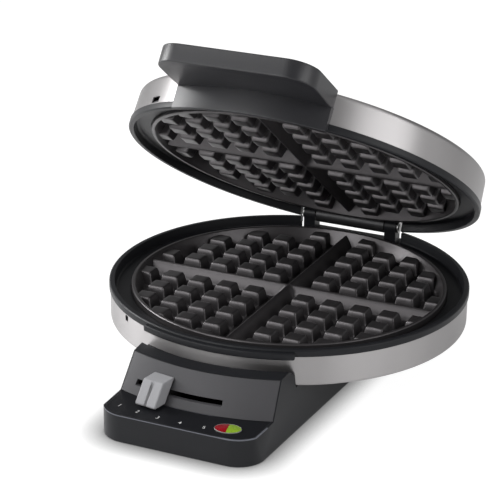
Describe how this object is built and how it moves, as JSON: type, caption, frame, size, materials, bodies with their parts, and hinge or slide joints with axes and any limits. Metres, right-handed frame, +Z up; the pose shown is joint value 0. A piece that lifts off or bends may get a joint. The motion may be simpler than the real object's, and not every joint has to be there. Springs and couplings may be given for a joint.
{
  "type": "waffle maker",
  "caption": "Round countertop waffle maker with a tilting steel lid, twin stud plates, a pedestal base and a sliding browning lever.",
  "frame": {"origin": "the point where the round pans' upright axis meets the table", "axes": "+Z up, -Y towards the user at the control end, +X to the right of someone facing that end"},
  "size_m": [0.198, 0.2503, 0.1911],
  "materials": {
    "black_plastic": "fine satin, heat-resistant moulding",
    "handle_plastic": "satin",
    "legend_black": "semi-gloss with pale figures 1 to 5",
    "brushed_steel": "brushed",
    "panel_grey": "dark grey satin",
    "nonstick": "dark satin non-stick coat on cast aluminium",
    "knob_silver": "satin silver paint",
    "lens_red": "clear tinted",
    "lens_green": "clear tinted",
    "lamp_glass": "clear",
    "bezel_white": "satin",
    "plated_steel": "zinc plated",
    "dark_steel": "heat-resistant black coat",
    "heater_sheath": "oxidised sheath",
    "shield_aluminium": "mill",
    "brass": "plain",
    "ceramic": "ceramic and high-temperature moulding",
    "red_sleeve": "silicone sleeve",
    "rubber": "matte"
  },
  "bodies": {
    "base": {"hinge_pin": "plated_steel", "pin_clips": "plated_steel", "hinge_cover": "black_plastic", "lower_rim": "black_plastic", "lower_band": "brushed_steel", "lower_pan": "dark_steel", "lower_plate": "nonstick", "lower_heater": "heater_sheath", "lower_heater_clips": "plated_steel", "lower_heat_shield": "shield_aluminium", "plate_pillars": "plated_steel", "lower_plate_screws": "plated_steel", "thermostat": "ceramic", "thermostat_screws": "plated_steel", "thermal_fuse": "ceramic", "base_housing": "black_plastic", "control_panel": "panel_grey", "legend_plate": "legend_black", "lamp_bezel": "bezel_white", "lens_red": "lens_red", "lens_green": "lens_green", "lamp_holder": "bezel_white", "lamp_red": "lamp_glass", "lamp_green": "lamp_glass", "bottom_cover": "black_plastic", "bottom_screws": "plated_steel", "rubber_feet": "rubber", "terminal_block": "ceramic", "terminal_screws": "brass", "base_leads": "red_sleeve", "cord_grommet": "rubber"},
    "lid": {"lid_cover": "brushed_steel", "lid_rim": "black_plastic", "lid_handle": "handle_plastic", "handle_screws": "plated_steel", "upper_plate": "nonstick", "upper_heater": "heater_sheath", "upper_heater_clips": "plated_steel", "upper_heat_shield": "shield_aluminium", "upper_plate_screws": "plated_steel", "upper_thermal_fuse": "ceramic", "lid_leads": "red_sleeve", "hinge_bracket": "dark_steel", "bracket_screws": "plated_steel"},
    "lever": {"thermostat_shaft": "brass", "control_arm": "plated_steel", "arm_screw": "plated_steel", "slider_knob": "knob_silver"}
  },
  "joints": [
    {"name": "lid_hinge", "type": "hinge", "parent": "base", "child": "lid", "pos_m": [0, 0.0924, 0.0459], "axis": [-1, 0, 0], "range_deg": [-35.7, 64.3]},
    {"name": "browning_lever", "type": "hinge", "parent": "base", "child": "lever", "pos_m": [0, 0, 0.02], "axis": [0, 0, 1], "range_deg": [-5.7, 15.1]}
  ]
}
